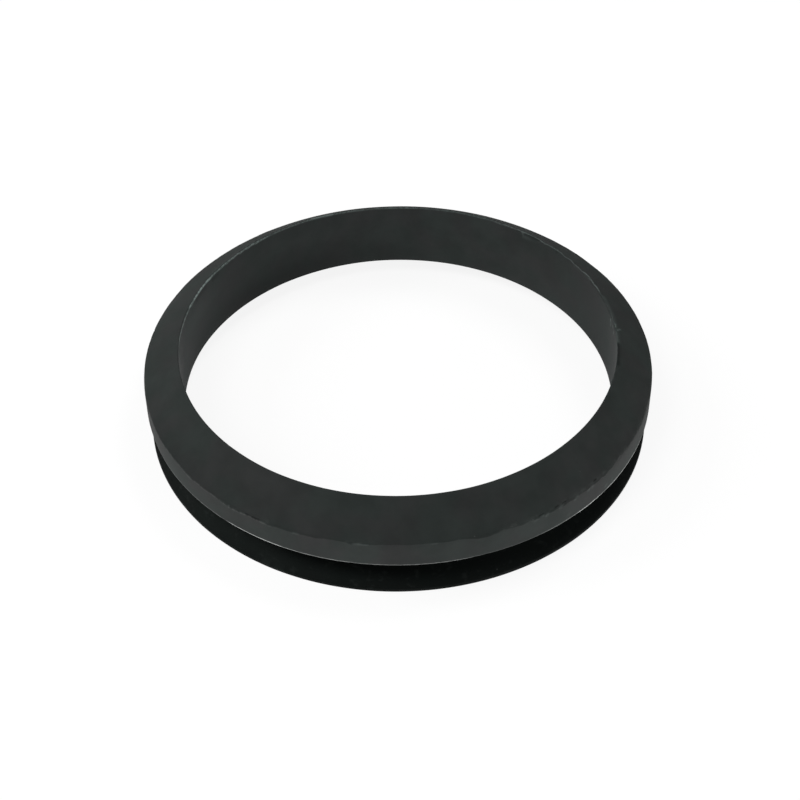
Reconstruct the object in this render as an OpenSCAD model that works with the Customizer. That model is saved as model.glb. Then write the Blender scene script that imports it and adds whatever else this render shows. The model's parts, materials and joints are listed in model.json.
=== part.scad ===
// Stretch-fit V-ring seal with a tapered back, moulded in one piece of black nitrile rubber.
// It is stretched over a round shaft or the collar of a joint and turns with it, and its
// flexible lip runs against a flat face that is square to the axis.
//
// The seal stands on its lip, as it lies on a bench: the axis is Z, the lip's sealing edge
// touches z = 0 and the tapered back is on top. All lengths are in millimetres.

/* [Bore] */
// Free diameter of the bore, before it is stretched over the shaft
bore_d = 58; // [54:0.5:63]
// Length of the bore, from the back edge down to the heel of the lip
bore_length = 9.95; // [9:0.05:12]

/* [Body] */
// Radial height of the section, from the bore out to the rim
section_h = 4.95; // [4.4:0.05:5.4]
// Fall of the tapered back, in degrees from the plane across the axis
back_angle = 36.5; // [30:0.5:40]
// Width of the rim land, from the crest down to the mouth of the groove
rim_w = 3.6; // [2.6:0.1:4]

/* [V groove] */
// Radial wall from the bore to the point of the groove, before its rounding, where the lip hinges
neck_w = 1.6; // [1.3:0.05:2.2]
// Rounding at the root of the groove
root_r = 0.4; // [0.2:0.05:0.6]

/* [Lip] */
// Slope of the sealing face, in degrees from the plane across the axis
lip_angle = 30; // [25:0.5:36]
// Radial reach of the lip, from the bore out to its end face
lip_reach = 4.65; // [4.1:0.05:5.1]
// Thickness of the lip at its hinge, square to the sealing face
hinge_t = 1; // [0.8:0.05:1.4]
// Height of the lip's end face, which stands parallel to the axis
lip_end_h = 0.7; // [0.5:0.05:1]

/* [Roundings] */
// Thin edge where the tapered back meets the bore
back_edge_r = 0.12; // [0.05:0.01:0.3]
// Heel, where the sealing face meets the bore
heel_r = 0.35; // [0.1:0.05:0.6]
// Sealing edge, at the foot of the lip's end face
sealing_edge_r = 0.15; // [0.05:0.01:0.2]
// Top edge of the lip's end face
lip_top_r = 0.2; // [0.05:0.05:0.3]
// Mouth of the groove, at the lower edge of the rim
mouth_r = 0.1; // [0.05:0.05:0.3]
// Crest, where the tapered back meets the rim
crest_r = 0.3; // [0.1:0.05:0.8]

/* [Hidden] */

// A rounding turns by no more than this many degrees from one point to the next
arc_step = 10;

// Radii of the bore, the rim and the lip's end face
bore_r = bore_d / 2;
rim_r = bore_r + section_h;
lip_r = bore_r + lip_reach;

// The rounding of the sealing edge takes this much off its lowest corner, so that corner is drawn lower
edge_loss = sealing_edge_r * (tan(45 + lip_angle / 2) - 1);

// Heights of the corners, from the sealing edge up
sealing_edge_z = -edge_loss;
lip_top_z = sealing_edge_z + lip_end_h;
heel_z = sealing_edge_z + lip_reach * tan(lip_angle);
root_z = heel_z - neck_w * tan(lip_angle) + hinge_t / cos(lip_angle);
back_edge_z = heel_z + bore_length;
crest_z = back_edge_z - section_h * tan(back_angle);
mouth_z = crest_z - rim_w;

// Corners of the section, counter-clockwise from the back edge: [radius, height, rounding]
corners = [
    [bore_r, back_edge_z, back_edge_r],
    [bore_r, heel_z, heel_r],
    [lip_r, sealing_edge_z, sealing_edge_r],
    [lip_r, lip_top_z, lip_top_r],
    [bore_r + neck_w, root_z, root_r],
    [rim_r, mouth_z, mouth_r],
    [rim_r, crest_z, crest_r],
];

// Where a corner would be with no rounding
function place(corner) = [corner[0], corner[1]];

// Direction from one corner to another, as a vector of length 1
function towards(from, to) = (place(to) - place(from)) / norm(place(to) - place(from));

// A vector turned counter-clockwise about its start
function turned(v, angle) = [v[0] * cos(angle) - v[1] * sin(angle), v[0] * sin(angle) + v[1] * cos(angle)];

// Points along a corner's rounding, from its tangent point towards the corner before to the one
// towards the corner after. A proud corner turns counter-clockwise, and the groove's hollow root clockwise.
function rounding(before, corner, after) =
    let (
        radius = corner[2],
        back = towards(corner, before),
        ahead = towards(corner, after),
        half = acos(back * ahead) / 2,
        centre = place(corner) + (back + ahead) / norm(back + ahead) * radius / sin(half),
        start = place(corner) + back * radius / tan(half) - centre,
        sweep = (180 - 2 * half) * sign(cross(ahead, back)),
        steps = ceil(abs(sweep) / arc_step)
    )
    [for (i = [0 : steps]) centre + turned(start, sweep * i / steps)];

// A closed outline through the given corners, each with its own rounding
function rounded_outline(corners) =
    let (count = len(corners))
    [
        for (i = [0 : count - 1])
            each rounding(corners[(i + count - 1) % count], corners[i], corners[(i + 1) % count])
    ];

// The whole seal: body, hinge and lip are one moulding, so one section is turned about the axis
module seal_ring() {
    color([0.17, 0.18, 0.18])
        rotate_extrude($fn = 240)
            polygon(rounded_outline(corners));
}

seal_ring();
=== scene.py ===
# %% [markdown]
# # A stretch-fit V-ring seal in black nitrile rubber
# The ring is one moulding: a body with a tapered back, a thin neck, and a flexible lip, with a
# V groove between body and lip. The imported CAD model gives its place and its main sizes. This
# lesson models the same section again, finer, so that the trimmed flash, the small nicks and the
# slight unevenness of soft rubber can be put in, and then gives it its rubber finish.

# %% Load the frame
import json
import math
import random

import bmesh
import bpy
from mathutils import Matrix, Vector, noise


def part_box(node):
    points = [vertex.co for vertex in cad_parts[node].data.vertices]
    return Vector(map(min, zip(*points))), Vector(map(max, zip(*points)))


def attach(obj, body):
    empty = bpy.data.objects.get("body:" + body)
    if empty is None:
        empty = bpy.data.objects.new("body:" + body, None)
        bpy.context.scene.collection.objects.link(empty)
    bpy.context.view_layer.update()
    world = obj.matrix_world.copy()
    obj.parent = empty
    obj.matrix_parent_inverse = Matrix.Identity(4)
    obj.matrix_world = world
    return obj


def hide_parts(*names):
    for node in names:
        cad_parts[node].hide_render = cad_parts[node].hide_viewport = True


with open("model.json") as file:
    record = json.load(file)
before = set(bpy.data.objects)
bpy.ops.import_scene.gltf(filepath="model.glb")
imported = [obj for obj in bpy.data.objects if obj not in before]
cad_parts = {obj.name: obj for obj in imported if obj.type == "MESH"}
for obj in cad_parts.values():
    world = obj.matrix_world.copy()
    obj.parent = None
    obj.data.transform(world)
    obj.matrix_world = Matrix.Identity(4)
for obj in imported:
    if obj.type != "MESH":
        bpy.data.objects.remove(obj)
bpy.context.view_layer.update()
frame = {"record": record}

mm = 0.001
low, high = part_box("seal_ring")
bore_mount = next(m for m in frame["record"]["mounts"] if m["name"] == "bore")
bore_r = bore_mount["dims"]["r_mm"] * mm
rim_r = high.x
height = high.z
print(f"Bore radius {bore_r / mm:.2f} mm, rim radius {rim_r / mm:.2f} mm, height {height / mm:.2f} mm")

# %% [markdown]
# ## The camera
# The photograph looks down at the ring from the front, at about 41 degrees. The camera stands at
# that elevation from the middle of the ring's back edge, aims at a point just above the floor near
# the ring's axis, and leans by less than a degree. Its distance and lens go together: they set how
# much smaller the far side looks.

# %% Camera
camera_elevation = math.radians(40.84)
camera_distance = 232.7 * mm
camera_lens = 78.85
camera_roll = math.radians(0.735)
camera_aim = Vector((0.22 * mm, 0, 1.145 * mm))

# Without its rounding, the back edge would stand this much above the ring's top
corner_above_top = 0.12 * mm
back_edge_centre = Vector((0, 0, height + corner_above_top))

towards_camera = Vector((0, -math.cos(camera_elevation), math.sin(camera_elevation)))
eye = back_edge_centre + camera_distance * towards_camera
level_view = (camera_aim - eye).to_track_quat("-Z", "Y").to_matrix()
view_turn = level_view @ Matrix.Rotation(-camera_roll, 3, "Z")
bpy.ops.object.camera_add(location=eye, rotation=view_turn.to_euler())
camera = bpy.context.object
camera.name = "camera"
camera.data.lens = camera_lens
camera.data.sensor_width = 36
camera.data.clip_start = 10 * mm
bpy.context.scene.camera = camera
print("Camera at", [round(c / mm, 1) for c in eye], "mm")

# %% [markdown]
# ## The floor
# The ring lies on a plain white sheet.

# %% Floor
floor_size = 8000 * mm

bpy.ops.mesh.primitive_plane_add(size=floor_size, location=(0, 0, low.z))
floor = bpy.context.object
floor.name = "floor"
print("Floor", floor_size, "m wide")


# %% [markdown]
# ## Soft light
# Black rubber shows the light more than its own colour, so the lamps matter as much as the
# finish. Five square soft boxes stand about 600 mm away, wide enough for shadows with no hard
# border. Two high ones light the tapered back from opposite sides. The left one lightens the left
# end of the back and the right end of the bore. The low one at the front right gives the rim its
# brightness, and the low one at the back left is a weak fill. The world adds a little from
# everywhere, but not much, so that the groove under the overhanging body stays dark.

# %% Soft lamps
def soft_box(name, azimuth, elevation, distance, power):
    """A square lamp that looks at the ring, from a direction round it and an elevation in degrees."""
    turn, lift = math.radians(azimuth), math.radians(elevation)
    towards = Vector((math.cos(turn) * math.cos(lift), math.sin(turn) * math.cos(lift), math.sin(lift)))
    place = towards * distance
    aim = (-place).to_track_quat("-Z", "Y").to_euler()
    bpy.ops.object.light_add(type="AREA", location=place, rotation=aim)
    lamp = bpy.context.object
    lamp.name = name
    lamp.data.shape = "SQUARE"
    lamp.data.size = box_size
    lamp.data.energy = power


box_size = 240 * mm
soft_box("left_box", 180, 36, 600 * mm, 1.68)
soft_box("high_front_left_box", 225, 60, 560 * mm, 1.41)
soft_box("high_back_right_box", 45, 60, 560 * mm, 1.20)
soft_box("low_front_right_box", 315, 14, 620 * mm, 1.28)
soft_box("low_back_left_box", 135, 14, 620 * mm, 0.35)

world = bpy.data.worlds.new("studio")
world.use_nodes = True
bpy.context.scene.world = world
background = world.node_tree.nodes["Background"]
background.inputs["Color"].default_value = (1, 1, 1, 1)
background.inputs["Strength"].default_value = 0.10
bpy.context.scene.view_settings.view_transform = "Standard"

# %% [markdown]
# ## The section
# A V-ring is turned about its axis, so all of its form is in one section. It is drawn as a maker
# would: seven corners joined by straight lines, and then a rounding on each. The heights follow
# from the sizes, with the top of the ring and its rim taken from the frame.

# %% Corners of the section
back_angle = math.radians(36.5)
rim_w = 3.6 * mm
neck_w = 1.6 * mm
lip_angle = math.radians(30)
lip_reach = 4.65 * mm
hinge_t = 1.0 * mm
lip_end_h = 0.7 * mm
roundings = {
    "back_edge": 0.12 * mm,
    "heel": 0.35 * mm,
    "sealing_edge": 0.15 * mm,
    "lip_top": 0.2 * mm,
    "root": 0.4 * mm,
    "mouth": 0.1 * mm,
    "crest": 0.3 * mm,
}


def beyond_box(rounding, slope):
    """How far a corner between an upright and a slope stands beyond its own rounding."""
    return rounding * (math.tan(math.radians(45) + slope / 2) - 1)


# A rounding cuts its corner back, so the top and bottom corners stand beyond the frame's box
back_edge_z = height + beyond_box(roundings["back_edge"], back_angle)
sealing_edge_z = low.z - beyond_box(roundings["sealing_edge"], lip_angle)
heel_z = sealing_edge_z + lip_reach * math.tan(lip_angle)
crest_z = back_edge_z - (rim_r - bore_r) * math.tan(back_angle)
mouth_z = crest_z - rim_w
root_z = heel_z - neck_w * math.tan(lip_angle) + hinge_t / math.cos(lip_angle)
corners = {
    "back_edge": Vector((bore_r, 0, back_edge_z)),
    "heel": Vector((bore_r, 0, heel_z)),
    "sealing_edge": Vector((bore_r + lip_reach, 0, sealing_edge_z)),
    "lip_top": Vector((bore_r + lip_reach, 0, sealing_edge_z + lip_end_h)),
    "root": Vector((bore_r + neck_w, 0, root_z)),
    "mouth": Vector((rim_r, 0, mouth_z)),
    "crest": Vector((rim_r, 0, crest_z)),
}
for name, corner in corners.items():
    print(f"{name:13s} radius {corner.x / mm:6.2f} mm, height {corner.z / mm:6.2f} mm")


# %% [markdown]
# ## Helpers for selecting
# Operators act on whatever is selected, and a script has no mouse to point with. So two small
# helpers select by place: one takes the vertices that pass a test, and one the edges. A third
# tells whether a vertex lies at a corner, give or take the small errors of moving it there.

# %% Selecting by place
near_enough = 0.01 * mm


def edit_mesh():
    """The mesh of the object that is in edit mode."""
    return bmesh.from_edit_mesh(bpy.context.edit_object.data)


def meets(co, corner):
    """Whether a vertex lies at a corner of the section."""
    return (co - corner).length < near_enough


def pick_points(test):
    """Selects the vertices whose place passes the test, and nothing else."""
    bpy.ops.mesh.select_all(action="DESELECT")
    mesh = edit_mesh()
    for vertex in mesh.verts:
        vertex.select_set(test(vertex.co))
    mesh.select_flush(True)
    return sum(vertex.select for vertex in mesh.verts)


def pick_edges(test):
    """Selects the edges whose two ends pass the test, and nothing else."""
    bpy.ops.mesh.select_all(action="DESELECT")
    mesh = edit_mesh()
    for edge in mesh.edges:
        edge.select_set(test(edge.verts[0].co, edge.verts[1].co))
    return sum(edge.select for edge in mesh.edges)


# %% [markdown]
# ## Drawing the section
# A plane merged to its middle leaves one vertex. Extruding that vertex from corner to corner
# draws the section as a chain of edges, and one more edge closes it. A list of points would give
# the same outline, but this is how it is drawn by hand, with the extrude tool.

# %% Draw the section
bpy.ops.object.select_all(action="DESELECT")
bpy.ops.mesh.primitive_plane_add(size=1 * mm, location=(0, 0, 0))
ring = bpy.context.object
ring.name = "moulded_ring"
ring.data.name = "moulded_ring"

bpy.ops.object.mode_set(mode="EDIT")
bpy.ops.mesh.merge(type="CENTER")
points = list(corners.values())
bpy.ops.transform.translate(value=points[0])
for here, there in zip(points, points[1:]):
    bpy.ops.mesh.extrude_region_move(TRANSFORM_OT_translate={"value": there - here})
pick_points(lambda co: meets(co, points[0]) or meets(co, points[-1]))
bpy.ops.mesh.edge_face_add()
print("Section drawn with", len(edit_mesh().verts), "corners")

# %% [markdown]
# ## Rounding the corners
# A vertex bevel needs the distance from the corner to where the rounding starts, which is the
# radius over the tangent of half the corner's angle. Its profile of 0.5 is round only at a right
# angle. At other angles, the profile that puts the middle of the curve on the true arc follows
# from the same half angle.

# %% Round each corner
arc_steps = {
    "back_edge": 6,
    "heel": 3,
    "sealing_edge": 3,
    "lip_top": 3,
    "root": 5,
    "mouth": 4,
    "crest": 6,
}

for i, (name, corner) in enumerate(corners.items()):
    before = (points[i - 1] - corner).normalized()
    after = (points[(i + 1) % len(points)] - corner).normalized()
    half = before.angle(after) / 2
    pick_points(lambda co: meets(co, corner))
    bpy.ops.mesh.bevel(
        affect="VERTICES",
        offset_type="OFFSET",
        offset=roundings[name] / math.tan(half),
        segments=arc_steps[name],
        profile=(1 - 0.5 / (1 + math.sin(half))) ** 2,
    )
print("Rounded section:", len(edit_mesh().verts), "points")

# %% [markdown]
# ## Fine points where the detail is
# The trimmed edges need points a tenth of a millimetre apart, and the wide faces don't. So edges
# are halved again and again while they are longer than their distance from the nearest worked
# edge allows. The straight stretches come out finely divided at their ends and coarse between.

# %% Divide the straight stretches
worked_edges = [corners["back_edge"], corners["crest"], corners["mouth"]]
finest = 0.15 * mm
growth = 0.42
coarsest = 1.4 * mm


def too_long(a, b):
    """Whether an edge is longer than its distance from the nearest worked edge allows."""
    away = min((edge - (a + b) / 2).length for edge in worked_edges)
    return (a - b).length > min(finest + growth * away, coarsest)


while pick_edges(too_long):
    bpy.ops.mesh.subdivide(number_cuts=1)
print("Divided section:", len(edit_mesh().verts), "points")

# %% [markdown]
# ## Turning it
# Spin carries the section round the axis. Its time grows with the square of its steps, so it
# turns one sixteenth of the ring, and that sector is then doubled four times: copied, turned by
# its own width and kept with the first. Merging doubles closes the seams, and the normals are
# made to point outwards, because a spun shape can come out inside out.

# %% Spin one sector and double it
full_turn = 2 * math.pi
turn_steps = 1200
doublings = 4
sectors = 2 ** doublings
sector_angle = full_turn / sectors

bpy.ops.mesh.select_all(action="SELECT")
bpy.ops.mesh.spin(steps=turn_steps // sectors, angle=sector_angle, center=(0, 0, 0), axis=(0, 0, 1))
for i in range(doublings):
    bpy.ops.mesh.select_all(action="SELECT")
    bpy.ops.mesh.duplicate()
    bpy.ops.transform.rotate(value=sector_angle * 2 ** i, orient_axis="Z", center_override=(0, 0, 0))
bpy.ops.mesh.select_all(action="SELECT")
bpy.ops.mesh.remove_doubles(threshold=0.001 * mm)
bpy.ops.mesh.normals_make_consistent(inside=False)
bpy.ops.object.mode_set(mode="OBJECT")
bpy.ops.object.shade_smooth()
print("Ring:", len(ring.data.vertices), "vertices,", 2 * len(ring.data.polygons), "triangles")

# %% [markdown]
# ## What moulding and trimming leave behind
# The ring comes out of its mould with a thin skin of flash at the back edge and at the crest,
# where the halves of the mould met. It is trimmed or torn off, and leaves an edge that wanders by
# a few hundredths of a millimetre, with small nicks and, on some stretches, ragged remains. This
# is modelled by moving vertices, as with a sculpting brush: each brush has a reach, and its
# strength falls off smoothly with the distance from the edge. The helpers here give the falloff,
# a smooth noise to wander by, and a vertex's distance over the skin from the back edge.

# %% Brushes
def falloff(distance, reach):
    """1 at the edge, easing to 0 at the brush's reach."""
    near = max(0.0, 1 - distance / reach)
    return near * near * (3 - 2 * near)


def wander(place, wavelength, seed):
    """Smooth noise from -1 to 1 with about the given wavelength, in the layer of a seed."""
    layer = Vector((0, 0, 37.0 * seed))
    return noise.noise(place / wavelength + layer)


def away_from(edge, place):
    """Distance of a place from an edge that runs round the ring."""
    return math.hypot(math.hypot(place.x, place.y) - edge.x, place.z - edge.z)


corner_across = {"back_edge": 0.0, "crest": (rim_r - bore_r) / math.cos(back_angle)}
corner_across["mouth"] = corner_across["crest"] + rim_w


def across_skin(place):
    """Distance over the skin from the back edge: positive over back and rim, negative down the bore."""
    radius = math.hypot(place.x, place.y)
    outer = radius > (bore_r + rim_r) / 2
    if outer and place.z < mouth_z:
        return corner_across["mouth"] + mouth_z - place.z
    below_back = back_edge_z - (radius - bore_r) * math.tan(back_angle) - place.z
    return (radius - bore_r) / math.cos(back_angle) + (below_back if outer else -below_back)


# %% [markdown]
# ## Nicks
# Small nicks lie at random along the edges, and more of them where the flash was torn. Each is a
# place on an edge, with a length and a depth. The random numbers start from a fixed seed, so the
# ring comes out the same every time. One helper here serves the next steps too: it tells how far
# one direction lies past another, also where a full turn starts again from zero.

# %% Nicks
random.seed(58)


def turn_past(degrees, azimuth):
    """How far an azimuth lies past an angle in degrees, the short way round, in radians."""
    return (azimuth - math.radians(degrees) + math.pi) % full_turn - math.pi


def scatter(count, edge, start, end, lengths, depths):
    """Nicks at random angles between start and end, in degrees, each with a length and a depth."""
    made = []
    for i in range(count):
        angle = random.uniform(start, end)
        length = random.uniform(*lengths) * mm
        depth = random.uniform(*depths) * mm
        made.append((edge, angle, length, depth))
    return made


nicks = (
    scatter(16, "crest", 0, 360, (0.3, 0.9), (0.02, 0.06))
    + scatter(22, "crest", 290, 345, (0.25, 0.8), (0.03, 0.09))
    + scatter(10, "back_edge", 0, 360, (0.2, 0.6), (0.02, 0.05))
    + scatter(24, "back_edge", 2, 66, (0.3, 1.0), (0.06, 0.16))
    + scatter(8, "mouth", 0, 360, (0.2, 0.5), (0.02, 0.04))
)


def nick_depth(name, azimuth):
    """How deep the nicks of an edge cut at an azimuth, in metres."""
    depth = 0.0
    for edge, middle, length, deepest in nicks:
        if edge == name:
            along = abs(turn_past(middle, azimuth)) * corners[name].x
            depth = max(depth, deepest * falloff(along, length))
    return depth


deepest_nick = max(depth for *_, depth in nicks)
print(len(nicks), "nicks, the deepest", round(deepest_nick / mm, 2), "mm")

# %% [markdown]
# ## Highlighted and ragged stretches
# An edge isn't pale all the way round. Its pale line is a painted highlight, laid along the listed
# stretches where the light catches it, and its flash was torn off along the ragged ones. Random
# noise can't put such a stretch where the real ring has it, so each is listed: its edge, its ends
# in degrees round the ring, and how strong it is. It fades out over a few degrees.

# %% Stretches with a painted highlight, and ragged ones
highlight_stretches = [
    ("back_edge", 16, 60, 0.40),
    ("back_edge", 17, 30, 0.60),
    ("back_edge", 56, 100, 0.26),
    ("back_edge", 82, 98, 0.50),
    ("back_edge", 96, 130, 0.45),
    ("back_edge", 127, 183, 0.80),
    ("back_edge", 150, 168, 1.50),
    ("back_edge", 350, 370, 0.12),
    ("crest", 203, 244, 0.45),
    ("crest", 294, 342, 0.15),
    ("mouth", 206, 232, 0.18),
    ("mouth", 230, 246, 1.00),
    ("mouth", 242, 262, 0.36),
    ("mouth", 258, 286, 0.20),
    ("mouth", 300, 312, 0.14),
    ("mouth", 309, 320, 0.66),
    ("mouth", 319, 342, 0.58),
]
ragged_stretches = [
    ("back_edge", 3, 66, 1.00),
    ("back_edge", 134, 178, 0.30),
    ("crest", 290, 345, 1.00),
]
soft_end = math.radians(3)


def stretch_strength(stretches, name, azimuth):
    """How strongly a list's stretches act on an edge at an azimuth."""
    strength = 0.0
    for edge, start, end, most in stretches:
        if edge == name:
            off = abs(turn_past((start + end) / 2, azimuth))
            inside = (math.radians(end - start) / 2 - off) / soft_end
            strength = max(strength, most * min(1.0, max(0.0, inside)))
    return strength


print(len(highlight_stretches), "rubbed stretches and", len(ragged_stretches), "ragged ones")

# %% [markdown]
# ## Where the torn line runs
# Torn flash doesn't keep to the edge: its line steps to one side and back. Each edge has a short
# list of places, in degrees round the ring and millimetres over the skin from the edge, and the
# line runs straight from one to the next.

# %% Places of the torn line
line_drift = {
    "back_edge": [
        (12, 0), (20, 0.10), (22, 0.05), (24.5, 0.38), (27, 0.32), (28.2, 0.02), (32, -0.02),
        (33.3, 0.26), (34.7, 0.12), (36, -0.04), (38, 0.18), (41, 0.08), (43, -0.12), (45, -0.18),
        (46.2, 0.02), (50.5, -0.10), (54, -0.12), (58, -0.27), (64, -0.20), (68, -0.26), (72, -0.22),
        (80, -0.26), (92, -0.29), (102, -0.26), (110, -0.20), (120, -0.18), (132, -0.20),
        (133.4, -0.28), (134.6, -0.12), (136.2, -0.30), (137.4, -0.14), (139.2, -0.32), (140.2, -0.10),
        (142, -0.32), (143, -0.18), (144.8, -0.32), (145.8, -0.18), (147.5, -0.30), (148.6, -0.16),
        (152.5, -0.14), (158, -0.16), (162, -0.24), (164, -0.28), (166, -0.22), (168, -0.38),
        (171, -0.40), (172.4, -0.46), (175, -0.42), (184, -0.30), (192, 0),
    ],
    "crest": [
        (200, 0), (203, 0.24), (206, 0.38), (209, 0.32), (211, 0.26), (214, 0.35), (216.4, 0.34),
        (218, 0.56), (220, 0.58), (222, 0.38), (224, 0.52), (226, 0.34), (229, 0.48), (232, 0.64),
        (234, 0.56), (236, 0.36), (239, 0.42), (242, 0.52), (244, 0.31), (248, 0.35), (250, 0.24),
        (252.4, 0.27), (254, 0.06), (258, 0.04), (260, 0.34), (262, 0.20), (266, 0.02), (278, 0.01),
        (280, 0.10), (282, 0), (284, 0.18), (286, 0.46), (288, 0.58), (290, 0.37), (292, 0.13),
        (294, 0.40), (296, 0.40), (298, 0.36), (299.6, 0.42), (300.4, 0.62), (301.8, 0.46), (304, 0.46),
        (305, 0.38), (307, 0.58), (308.4, 0.36), (310, 0.56), (311.4, 0.32), (313, 0.44), (314.5, 0.36),
        (316, 0.48), (318, 0.42), (319.6, 0.54), (321, 0.42), (323, 0.30), (326, 0.12), (330, 0.22),
        (334, 0.22), (338, 0.30), (342, 0),
    ],
    "mouth": [(296, 0), (302, -0.05), (308, -0.09), (318, -0.07), (330, -0.07), (340, 0)],
}


def drift_at(name, azimuth):
    """How far the torn line runs off an edge at an azimuth, in metres, from its listed places."""
    degrees = math.degrees(azimuth)
    listed = line_drift[name]
    for (start, before), (end, after) in zip(listed, listed[1:]):
        if start <= degrees <= end:
            return (before + (after - before) * (degrees - start) / (end - start)) * mm
    return 0.0


print(sum(len(listed) for listed in line_drift.values()), "places of the torn line")

# %% [markdown]
# ## Single marks
# Beside the lines there are single marks. The pale ones are painted highlights, where scraps of
# flash at the edge catch the light, and a few are wisps of lint in the groove. The dark ones are
# notches: each cuts a small dent, and painted shadow darkens it. Each is one short stroke over
# the skin, with a soft border. It is listed by its start and its end, each in degrees round the
# ring and millimetres over the skin from the back edge, where down the bore is negative. Then come
# its half width in millimetres and its strength, above zero where it is pale and below zero where
# it is dark.

# %% Strokes
# Pale strokes are painted highlights on scraps of flash, except the lint in the groove; dark strokes cut
# a dent and paint shadow in it
marks = [
    # Back edge at the right
    (-3.4, 0.24, -11.2, 0.36, 0.44, -0.50),
    (-1.4, 0.32, -2.4, 0.36, 0.20, 0.045),
    (0.9, 0.12, -1.3, 0.20, 0.30, 0.035),
    (2.0, 0.33, 3.2, 0.95, 0.20, 0.070),
    (4.0, -0.02, 1.8, 0.12, 0.20, -0.80),
    (4.3, -1.1, 3.9, -1.3, 0.28, 0.150),
    (4.6, 0.32, 3.4, 0.22, 0.22, 0.110),
    (5.2, -0.95, 4.9, -1.1, 0.24, 0.170),
    (7.9, -0.9, 7.4, -1.3, 0.24, 0.170),
    (8.1, -0.9, 4.6, -1.2, 0.18, 0.060),
    (16.0, 0.34, -2.6, 0.22, 0.58, 0.020),
    (31.5, -0.30, 24.0, -0.10, 0.55, 0.012),
    (39.3, -0.40, 38.8, -0.40, 0.22, -0.70),
    (49.4, -0.36, 45.8, -0.32, 0.20, -0.85),
    (50.9, -0.74, 45.6, -0.66, 0.17, 0.060),
    (51.9, -0.05, 51.4, -0.76, 0.20, 0.045),
    # Back edge at the back
    (114.5, 0.05, 108.5, -0.18, 0.32, 0.100),
    (124.0, 3.20, 100.0, 3.20, 3.00, 0.006),
    # Back edge at the left
    (147.5, -0.12, 133.0, -0.16, 0.40, 0.014),
    (148.0, 0.70, 134.0, 0.70, 0.90, 0.006),
    (151.0, 0.60, 141.0, 0.60, 0.50, 0.007),
    (152.0, -0.84, 149.0, -0.88, 0.20, -0.30),
    (161.5, -0.74, 155.0, -0.70, 0.24, -0.50),
    (171.5, -1.00, 168.0, -0.90, 0.22, -0.50),
    (173.0, -0.36, 167.5, -0.24, 0.30, 0.028),
    # Crest and rim at the front left
    (218.2, 6.64, 219.6, 6.66, 0.20, 0.030),
    (226.4, 6.56, 227.7, 6.58, 0.18, 0.022),
    (228.8, 6.60, 230.8, 6.64, 0.17, 0.018),
    (231.5, 6.62, 231.6, 6.62, 0.20, 0.070),
    (232.6, 6.66, 233.4, 6.64, 0.18, 0.022),
    (234.6, 6.62, 235.9, 6.56, 0.20, 0.026),
    (236.1, 6.34, 237.1, 6.36, 0.20, -0.60),
    (237.9, 6.38, 239.4, 6.38, 0.22, -0.70),
    (239.9, 6.58, 240.8, 6.58, 0.20, 0.026),
    (247.4, 6.44, 248.6, 6.42, 0.20, 0.045),
    (260.3, 6.32, 263.3, 6.28, 0.18, 0.034),
    (276.4, 6.24, 277.6, 6.24, 0.16, 0.022),
    # Crest and rim at the front right
    (299.6, 6.84, 299.0, 6.90, 0.34, 0.030),
    (301.2, 6.50, 300.5, 6.54, 0.26, 0.045),
    (301.2, 6.34, 300.2, 6.38, 0.24, -0.70),
    (302.4, 6.62, 301.9, 6.66, 0.26, 0.042),
    (305.2, 6.14, 304.3, 6.16, 0.24, -0.70),
    (306.1, 6.55, 305.4, 6.60, 0.24, 0.042),
    (307.2, 6.14, 306.3, 6.16, 0.22, -0.70),
    (308.3, 8.95, 307.5, 9.05, 0.26, 0.025),
    (310.5, 6.52, 309.6, 6.66, 0.24, 0.045),
    (314.1, 6.74, 313.5, 6.80, 0.24, 0.050),
    (315.2, 6.76, 314.7, 6.82, 0.22, 0.040),
    (316.4, 6.06, 315.8, 6.08, 0.24, -0.70),
    (320.4, 8.75, 319.8, 8.85, 0.26, 0.035),
    (322.5, 8.95, 321.8, 9.05, 0.24, 0.035),
    # Lint in the groove at the front left
    (228.2, 13.20, 230.0, 13.20, 0.30, 0.004),
    (231.0, 13.17, 232.5, 13.17, 0.30, 0.004),
    (233.6, 13.12, 236.8, 13.17, 0.30, 0.004),
    (237.4, 13.14, 239.5, 13.14, 0.30, 0.003),
    (239.0, 14.46, 240.6, 14.46, 0.24, 0.008),
    (242.0, 14.50, 244.0, 14.50, 0.24, 0.006),
]


def mark_at(nearby, azimuth, across):
    """How pale and how dark the nearby marks make a place, at an azimuth and a distance over the skin."""
    pale, dark = 0.0, 0.0
    # The skin is taken as unrolled: its inner half at the bore's radius, and the rest at the rim's
    around = bore_r if across < 0.5 * corner_across["crest"] else rim_r
    for start_turn, start_across, end_turn, end_across, half_width, amount in nearby:
        spot = Vector((turn_past(start_turn, azimuth) * around, across - start_across * mm))
        width = math.radians(end_turn - start_turn) * around
        stroke = Vector((width, (end_across - start_across) * mm))
        along = min(1.0, max(0.0, spot.dot(stroke) / stroke.length_squared))
        cover = falloff((spot - along * stroke).length, half_width * mm)
        pale = max(pale, cover * amount)
        dark = max(dark, -cover * amount)
    return pale, dark


print(len(marks), "strokes, of which", sum(amount < 0 for *_, amount in marks), "are dark")
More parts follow.
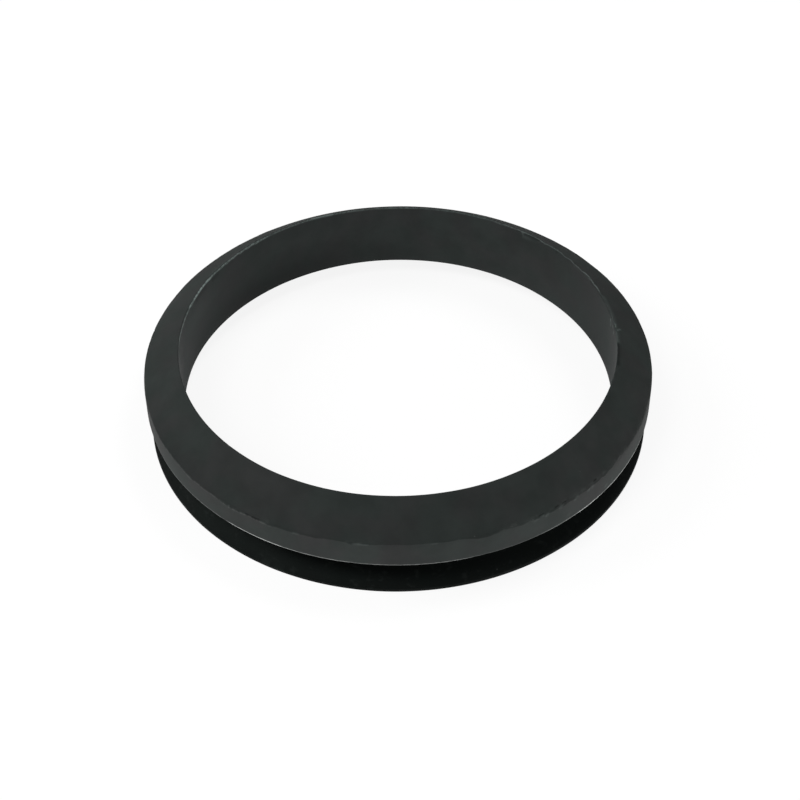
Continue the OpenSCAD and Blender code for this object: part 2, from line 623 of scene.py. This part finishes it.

# %% [markdown]
# ## Patches of painted light and shade
# The patches are painted light and shade: the skin is painted lighter where more light falls, as
# on the right of the rim and on the lip at the front left, and darker where shade falls, as at the
# foot of the bore at the back left and in the groove at the front. A patch is a soft spot with no
# border. It is listed by its middle, in degrees and millimetres of height, by its half width in
# both, and by how much lighter it makes the skin, where 1 would be twice as light.

# %% Patches
light_and_shade_patches = [
    (1, 6.2, 8, 2.2, -0.10),
    (12, 2.6, 16, 1.4, -0.26),
    (12, 5.0, 16, 4.0, -0.18),
    (45, 10.6, 14, 2.0, -0.10),
    (128, 3.2, 30, 3.5, -0.45),
    (158, 9.8, 14, 3.0, 0.14),
    (160, 8.0, 10, 2.6, 0.08),
    (160, 9.3, 7, 0.9, 0.25),
    (172, 2.6, 14, 1.4, -0.38),
    (186, 6.2, 9, 2.0, -0.14),
    (190, 10.8, 24, 2.4, 0.20),
    (208, 5.6, 14, 1.3, 0.12),
    (210, 8.7, 10, 1.2, -0.12),
    (222, 1.8, 20, 1.4, 0.80),
    (234, 2.2, 8, 0.8, 0.35),
    (280, 2.4, 16, 0.6, -0.60),
    (285, 10.5, 28, 2.6, -0.09),
    (318, 7.0, 24, 2.6, 0.20),
    (330, 5.6, 12, 1.3, 0.14),
    (357, 10.6, 12, 2.4, 0.12),
]


def painted_lightness(azimuth, level):
    """How much lighter the skin is painted at a place by the soft patches of painted light and shade that
    reach it.
    """
    lighter = 0.0
    for middle, height_mm, wide, tall, amount in light_and_shade_patches:
        aside = math.degrees(turn_past(middle, azimuth)) / wide
        up = (level / mm - height_mm) / tall
        lighter += amount * math.exp(-(aside * aside + up * up))
    return lighter


print(len(light_and_shade_patches), "light_and_shade_patches")

# %% [markdown]
# ## The brushes at one angle
# The vertices stand in columns, all of a column at the same angle round the ring. What depends
# on the angle alone, such as a nick's depth or a stretch's strength, is worked out once for each
# column and then looked up, which makes the next step many times faster.

# %% One column at a time
# Reach of each edge's brush, and how far its edge wanders
edge_brushes = {
    "back_edge": (0.30 * mm, 0.012 * mm),
    "crest": (0.50 * mm, 0.035 * mm),
    "mouth": (0.20 * mm, 0.012 * mm),
}
edge_names = list(edge_brushes)
columns = {}


def reaches(mark, azimuth):
    """Whether a mark's stroke reaches an azimuth."""
    start_turn, _, end_turn, _, half_width, _ = mark
    off = abs(turn_past((start_turn + end_turn) / 2, azimuth))
    return off < math.radians(abs(end_turn - start_turn)) / 2 + half_width * mm / bore_r


def column(azimuth):
    """What each edge has at an azimuth, and the marks that reach it, worked out once and kept."""
    key = round(azimuth, 5)
    if key not in columns:
        edges = {
            name: (
                nick_depth(name, azimuth),
                stretch_strength(highlight_stretches, name, azimuth),
                stretch_strength(ragged_stretches, name, azimuth),
                drift_at(name, azimuth),
            )
            for name in edge_names
        }
        columns[key] = edges, [mark for mark in marks if reaches(mark, azimuth)]
    return columns[key]


# %% [markdown]
# ## Moving the vertices
# Each vertex moves along its normal by the sum of all the brushes that reach it, and always
# inwards, so the ring stays inside its frame. What the finish needs to know is kept in lists and
# written to the mesh as attributes at the end, because making an attribute can move the others
# in memory.

# %% Move the vertices
# How deep the soft rubber's unevenness, torn flash and a notch go, and a nick that counts as torn
slack = 0.03 * mm
flash_depth = 0.12 * mm
notch_depth = 0.10 * mm
full_tear = 0.06 * mm
# Wavelengths of the skin's unevenness, of the trimmed edge and its ripple, and of torn flash
skin_wave = 6 * mm
edge_wave = 3.5 * mm
ripple_wave = 0.8 * mm
flash_wave = 0.7 * mm

mesh = ring.data
normals = [vertex.normal.copy() for vertex in mesh.vertices]
kept_names = ["torn", "highlighted", "ragged", "drift", "highlight_and_lint_mark", "notch_and_painted_shadow", "painted_light_and_shade"]
kept = {name: [] for name in kept_names}
section_places = []

for vertex, normal in zip(mesh.vertices, normals):
    place = vertex.co.copy()
    azimuth = math.atan2(place.y, place.x) % full_turn
    inwards = slack * (0.5 + 0.5 * wander(place, skin_wave, 1))
    tear = 0.0
    here, nearby = column(azimuth)
    across = across_skin(place)
    highlight_and_lint_mark, notch_and_painted_shadow = mark_at(nearby, azimuth, across)
    for name, (reach, wave) in edge_brushes.items():
        near = falloff(away_from(corners[name], place), reach)
        if near == 0.0:
            continue
        depth, _, raggedness, _ = here[name]
        inwards += near * wave * (1 + wander(place, edge_wave, 2) + 0.6 * wander(place, ripple_wave, 3))
        inwards += near * depth
        flash = raggedness * near * (0.5 + 0.5 * wander(place, flash_wave, 4))
        inwards += flash_depth * flash
        tear = max(tear, near * depth / full_tear, flash)
    inwards += notch_depth * notch_and_painted_shadow
    nearest = min(edge_names, key=lambda name: away_from(corners[name], place))
    _, highlight_strength, raggedness, drift = here[nearest]
    painted_light_and_shade = painted_lightness(azimuth, place.z)
    values = (min(1.0, tear), highlight_strength, raggedness, drift, highlight_and_lint_mark, notch_and_painted_shadow, painted_light_and_shade)
    for name, value in zip(kept_names, values):
        kept[name].append(value)
    section_places += [math.hypot(place.x, place.y), place.z, across]
    vertex.co = place - normal * inwards
mesh.update()
for name, values in kept.items():
    mesh.attributes.new(name, "FLOAT", "POINT").data.foreach_set("value", values)
mesh.attributes.new("section_place", "FLOAT_VECTOR", "POINT").data.foreach_set("vector", section_places)
print("Moved", len(mesh.vertices), "vertices in", len(columns), "columns")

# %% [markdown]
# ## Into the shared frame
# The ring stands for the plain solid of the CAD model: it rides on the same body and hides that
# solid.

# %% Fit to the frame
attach(ring, "root")
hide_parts("seal_ring")
print("The ring rides on root and replaces seal_ring")


# %% [markdown]
# ## Shader maths as Python
# A finish is a sum of patterns. This class wraps one socket of a material, so that a pattern is
# written as an expression: each operator adds its Math node, and one method adds any other node.

# %% A socket that takes part in expressions
class Signal:
    """One output socket of a material's nodes."""

    def __init__(self, tree, socket=None):
        self.tree = tree
        self.socket = socket

    def node(self, kind, settings, inputs, output=0):
        """Adds a node: its settings are set first, and then the values or links of its inputs."""
        made = self.tree.nodes.new(kind)
        for name, setting in settings.items():
            setattr(made, name, setting)
        for name, given in inputs.items():
            if isinstance(given, Signal):
                self.tree.links.new(given.socket, made.inputs[name])
            else:
                made.inputs[name].default_value = given
        return Signal(self.tree, made.outputs[output])

    def math(self, operation, *values):
        """A Math node on the given values."""
        return self.node("ShaderNodeMath", {"operation": operation}, dict(enumerate(values)))

    def __add__(self, other):
        return self.math("ADD", self, other)

    def __sub__(self, other):
        return self.math("SUBTRACT", self, other)

    def __rsub__(self, other):
        return self.math("SUBTRACT", other, self)

    def __mul__(self, other):
        return self.math("MULTIPLY", self, other)

    __radd__ = __add__
    __rmul__ = __mul__

    def rising(self, start, end):
        """0 up to start, 1 from end on, and smooth between; falling where end is the smaller."""
        settings = {"interpolation_type": "SMOOTHSTEP"}
        inputs = {"Value": self, "From Min": start, "From Max": end}
        return self.node("ShaderNodeMapRange", settings, inputs)

    def noise(self, size, detail=2.0, roughness=0.5):
        """Noise from 0 to 1 whose features are about size across, in metres, at this place."""
        inputs = {"Vector": self, "Scale": 1 / size, "Detail": detail, "Roughness": roughness}
        return self.node("ShaderNodeTexNoise", {}, inputs)

    def mix(self, under, over):
        """The colour under where this mask is 0, and over where it is 1."""
        # A Mix node also has sockets for numbers and vectors. Those for colours are 6, 7 and output 2
        return self.node("ShaderNodeMix", {"data_type": "RGBA"}, {0: self, 6: under, 7: over}, output=2)

    def scaled(self, amount):
        """This colour, all of it lighter or darker by an amount."""
        return self.node("ShaderNodeVectorMath", {"operation": "SCALE"}, {0: self, "Scale": amount})

    def times(self, factors):
        """This colour or place with each of its three numbers times its own factor."""
        return self.node("ShaderNodeVectorMath", {"operation": "MULTIPLY"}, {0: self, 1: factors})


def new_material(name):
    """A material with its shader, and a signal to start expressions from."""
    material = bpy.data.materials.new(name)
    material.use_nodes = True
    return material, material.node_tree.nodes["Principled BSDF"], Signal(material.node_tree)


# %% [markdown]
# ## Black nitrile rubber
# Nitrile rubber is black, and each face gets a black of its own that stands in for the light on it.
# The rim's is painted lighter, as painted light, the bore and the back are darker, and the
# groove's is near black, as painted shade under the overhanging body. Torn skin is pale, because
# its broken surface scatters the light, and the pale lines and marks are painted highlights. The
# colours come first, and a material to mix them in.

# %% Colours of the rubber
back_black = (0.0210, 0.0231, 0.0223, 1)
bore_black = (0.0243, 0.0266, 0.0259, 1)
# Painted light on the rim, and painted shade in the groove, on the same black rubber
rim_painted_light_black = (0.0338, 0.0361, 0.0351, 1)
groove_painted_shade_black = (0.0022, 0.0026, 0.0024, 1)
dust_grey = (0.085, 0.090, 0.087, 1)
torn_grey = (0.050, 0.056, 0.053, 1)
# Pale greys of the painted highlights along the edges and of the pale marks
highlight_grey = (0.72, 0.74, 0.72, 1)
flash_highlight_grey = (0.62, 0.76, 0.72, 1)
lint_grey = (0.060, 0.068, 0.064, 1)
cool_tint = (0.955, 1.015, 1.00, 1)
warm_tint = (1.035, 0.985, 1.01, 1)

rubber, shader, start = new_material("black_nitrile_rubber")


# %% [markdown]
# ## What the finish reads
# Noise is laid in the ring's own coordinates, so it stays with the ring. The faces and the edge
# lines are found in the section's coordinates, which are radius, height and distance over the
# skin. They were kept before the edges were worked, so they are true to the drawing. The other
# attributes tell where an edge was torn, how strong its painted highlight is, where it was marked,
# and where painted light and shade lie.

# %% Places and masks
def kept_mask(name):
    """A number that was kept on the vertices."""
    return start.node("ShaderNodeAttribute", {"attribute_name": name}, {}, output="Fac")


def section_part(axis):
    """One of the section's three coordinates."""
    return start.node("ShaderNodeSeparateXYZ", {}, {0: section}, output=axis)


place = start.node("ShaderNodeTexCoord", {}, {}, output="Object")
section = start.node("ShaderNodeAttribute", {"attribute_name": "section_place"}, {}, output="Vector")
radius, level, across = section_part("X"), section_part("Y"), section_part("Z")
# The strength of an edge's line sets its painted highlight
torn_mask, highlight_mask, ragged_mask = kept_mask("torn"), kept_mask("highlighted"), kept_mask("ragged")
# The patches paint light and shade
drift, painted_light_and_shade_mask = kept_mask("drift"), kept_mask("painted_light_and_shade")
# The pale marks are painted highlights and lint, and the dark marks painted shadow
highlight_and_lint_marks, notches_and_painted_shadow = kept_mask("highlight_and_lint_mark"), kept_mask("notch_and_painted_shadow")

# %% [markdown]
# ## Patterns of the skin
# Each size of unevenness has a noise of its own: clouds of bloom and drifts of hue some
# millimetres wide, mottle, the orange peel and the fine grain that the mould leaves, and lines
# round the ring from the turned mould. Dust is a pattern of cells of which few are chosen, with
# one small dot in each. Lint is a noise pressed flat, for the wisps that cling in the groove.

# %% Patterns
clouds = place.noise(4 * mm, 3, 0.55).rising(0.30, 0.70)
mottle = place.noise(1.3 * mm, 3, 0.6)
hue_drift = place.noise(5 * mm, 2).rising(0.35, 0.65)
orange_peel = place.noise(0.7 * mm, 2)
grain = place.noise(0.11 * mm, 1)
turned_lines = section.noise(0.16 * mm, 2)

dust_spacing = 1.5 * mm
dust_cells = {"Vector": place, "Scale": 1 / dust_spacing}
dust_distance = start.node("ShaderNodeTexVoronoi", {}, dust_cells, output="Distance")
dust_choice = start.node("ShaderNodeTexVoronoi", {}, dust_cells, output="Color")
chosen = start.node("ShaderNodeSeparateColor", {}, {0: dust_choice}, output="Red").rising(0.92, 0.94)
specks = dust_distance.rising(0.075, 0.035) * chosen

flattened = (1, 1, 2.4)
lint = place.times(flattened).noise(1.4 * mm, 3, 0.6).rising(0.56, 0.70)
print("Nodes after the patterns:", len(rubber.node_tree.nodes))

# %% [markdown]
# ## How the torn line wanders
# A torn line is never smooth. Two fine noises make it sway and tatter, and more so where the edge
# is ragged. The pale lines and the border between rim and back share this wobble.

# %% Wobble of the torn line
tatter = place.noise(0.4 * mm, 2)
sway = place.noise(0.9 * mm, 2)
wobble = (sway + tatter - 1.0) * (0.12 + 0.35 * ragged_mask) * mm

# %% [markdown]
# ## The faces
# The rim, the bore and the groove are picked out by radius and height. The border between the
# rim and the back follows the torn line of the crest, so it shares the line's drift and wobble.

# %% Masks of the faces
border_blur = 0.05 * mm
border = level + drift + wobble
below_crest = border.rising(crest_z + border_blur, crest_z - border_blur)
above_mouth = level.rising(mouth_z - 0.08 * mm, mouth_z)
outside = radius.rising(rim_r - 0.6 * mm, rim_r - 0.5 * mm)
on_rim = outside * below_crest * above_mouth
on_bore = radius.rising(bore_r + 0.12 * mm, bore_r + 0.02 * mm)
over_sealing_face = level + (radius - corners["sealing_edge"].x) * math.tan(lip_angle)
off_heel = radius.rising(bore_r + 0.6 * mm, bore_r + 1.2 * mm)
in_groove = (1 - above_mouth) * over_sealing_face.rising(0.01 * mm, 0.08 * mm) * off_heel
on_back = (1 - on_rim) * (1 - on_bore) * (1 - in_groove)
print("Nodes after the faces:", len(rubber.node_tree.nodes))

# %% [markdown]
# ## Painted highlights along the edges
# Along the edges a thin pale line is a painted highlight, where the light catches the torn and
# trimmed edge, and on the crest it also paints light over the shade of the rounding. The line is
# where the distance over the skin comes close to the edge's own, shifted by the drift that was
# kept and by the wobble. A fine noise breaks it up into dashes. The groove and the sealing face
# below it have no line.

# %% Lines
dashes = tatter.rising(0.40, 0.58)
off_groove = level.rising(mouth_z - 0.6 * mm, mouth_z - 0.4 * mm)


def line_on(name, half_width):
    """1 on an edge's line and 0 from its half width outwards."""
    off = start.math("ABSOLUTE", across - corner_across[name] - drift - wobble)
    return off.rising(half_width, 0.4 * half_width) * off_groove


# Painted highlights along the mouth and the crest, and along the back edge over its torn flash
torn_width = (0.22 + 0.10 * highlight_mask) * mm
mouth_line = line_on("mouth", 0.16 * mm) * (0.6 + 0.4 * dashes)
crest_line = line_on("crest", 0.20 * mm) * 0.05 * dashes
back_line = line_on("back_edge", torn_width) * 0.16 * (0.45 + 0.55 * dashes)
edge_highlight = (mouth_line + crest_line) * (0.08 + highlight_mask)
flash_and_highlight_line = back_line * (0.03 + highlight_mask)
print("Nodes after the lines:", len(rubber.node_tree.nodes))

# %% [markdown]
# ## Base colour
# The blacks of the faces are mixed first, with the rim's painted light and the groove's painted
# shade. They are made uneven, painted lighter and darker by the patches of painted light and
# shade, and drifted between a cool and a warm tint. Dust, lint, torn skin and the painted
# highlights of the pale lines and marks are laid over them one by one, and the painted shadow of
# the dark notches comes last. A colour goes through Mix and Vector Math nodes, because a Math
# node turns it grey. Dust, lint, torn skin and pale lines are laid over them one by one, and the dark
# notches
# come last. A colour goes through Mix and Vector Math nodes, because a Math node turns it grey.

# %% Base colour
# The rim's lighter black is painted light, and the groove's near black is painted shade
colour = on_bore.mix(back_black, bore_black)
colour = on_rim.mix(colour, rim_painted_light_black)
colour = in_groove.mix(colour, groove_painted_shade_black)
# Random clouds and mottle, times the patches of painted light and shade
uneven_with_painted_shade = (0.80 + 0.22 * clouds + 0.18 * mottle) * (1 + painted_light_and_shade_mask)
tint = hue_drift.mix(cool_tint, warm_tint)
torn_skin = torn_mask * mottle.rising(0.35, 0.6)

colour = colour.times(tint).scaled(uneven_with_painted_shade)
colour = (specks * 0.35).mix(colour, dust_grey)
colour = (lint * in_groove * 0.07).mix(colour, lint_grey)
colour = (torn_skin * 0.5).mix(colour, torn_grey)
colour = edge_highlight.mix(colour, highlight_grey)
# Painted highlights of the back edge line and the pale marks, then the painted shadow of the dark marks
colour = (flash_and_highlight_line + highlight_and_lint_marks).mix(colour, flash_highlight_grey)
colour = colour.scaled(1 - notches_and_painted_shadow)
print("Nodes after the colour:", len(rubber.node_tree.nodes))

# %% [markdown]
# ## Relief and shine
# The skin's grain is a few thousandths of a millimetre deep, so it is a bump and not geometry.
# The rubber is matt: its roughness is high, and highest on the tapered back and on torn skin, and
# its specular level is far below that of plastic. What varies is joined to the shader's inputs,
# and what is the same all over is set on the shader itself.

# %% Relief and shine
relief_depth = 0.008 * mm
relief = orange_peel * 0.45 + grain * 0.35 + turned_lines * 0.2 + specks * 0.6 + torn_mask * grain * 1.5
bump = start.node("ShaderNodeBump", {}, {"Height": relief, "Strength": 1.0, "Distance": relief_depth})
rough = 0.62 + 0.08 * clouds + 0.06 * mottle + 0.18 * on_back + 0.15 * torn_skin + 0.15 * specks

tree = rubber.node_tree
tree.links.new(colour.socket, shader.inputs["Base Color"])
tree.links.new(rough.socket, shader.inputs["Roughness"])
tree.links.new(bump.socket, shader.inputs["Normal"])
shader.inputs["Specular IOR Level"].default_value = 0.08
shader.inputs["Specular Tint"].default_value = (0.80, 1.0, 0.94, 1)
ring.data.materials.append(rubber)
print("Rubber finish:", len(tree.nodes), "nodes")

# %% [markdown]
# ## The floor's finish
# A plain matt white sheet that glows, like the acrylic sheet over a light table. The glow keeps
# the ring's shadow faint, as on a picture taken for a catalogue.

# %% Pale sheet
pale, pale_shader = new_material("pale_sheet")[:2]
pale_shader.inputs["Base Color"].default_value = (0.10, 0.10, 0.10, 1)
pale_shader.inputs["Emission Color"].default_value = (1, 1, 1, 1)
pale_shader.inputs["Emission Strength"].default_value = 0.88
pale_shader.inputs["Roughness"].default_value = 0.9
floor.data.materials.append(pale)
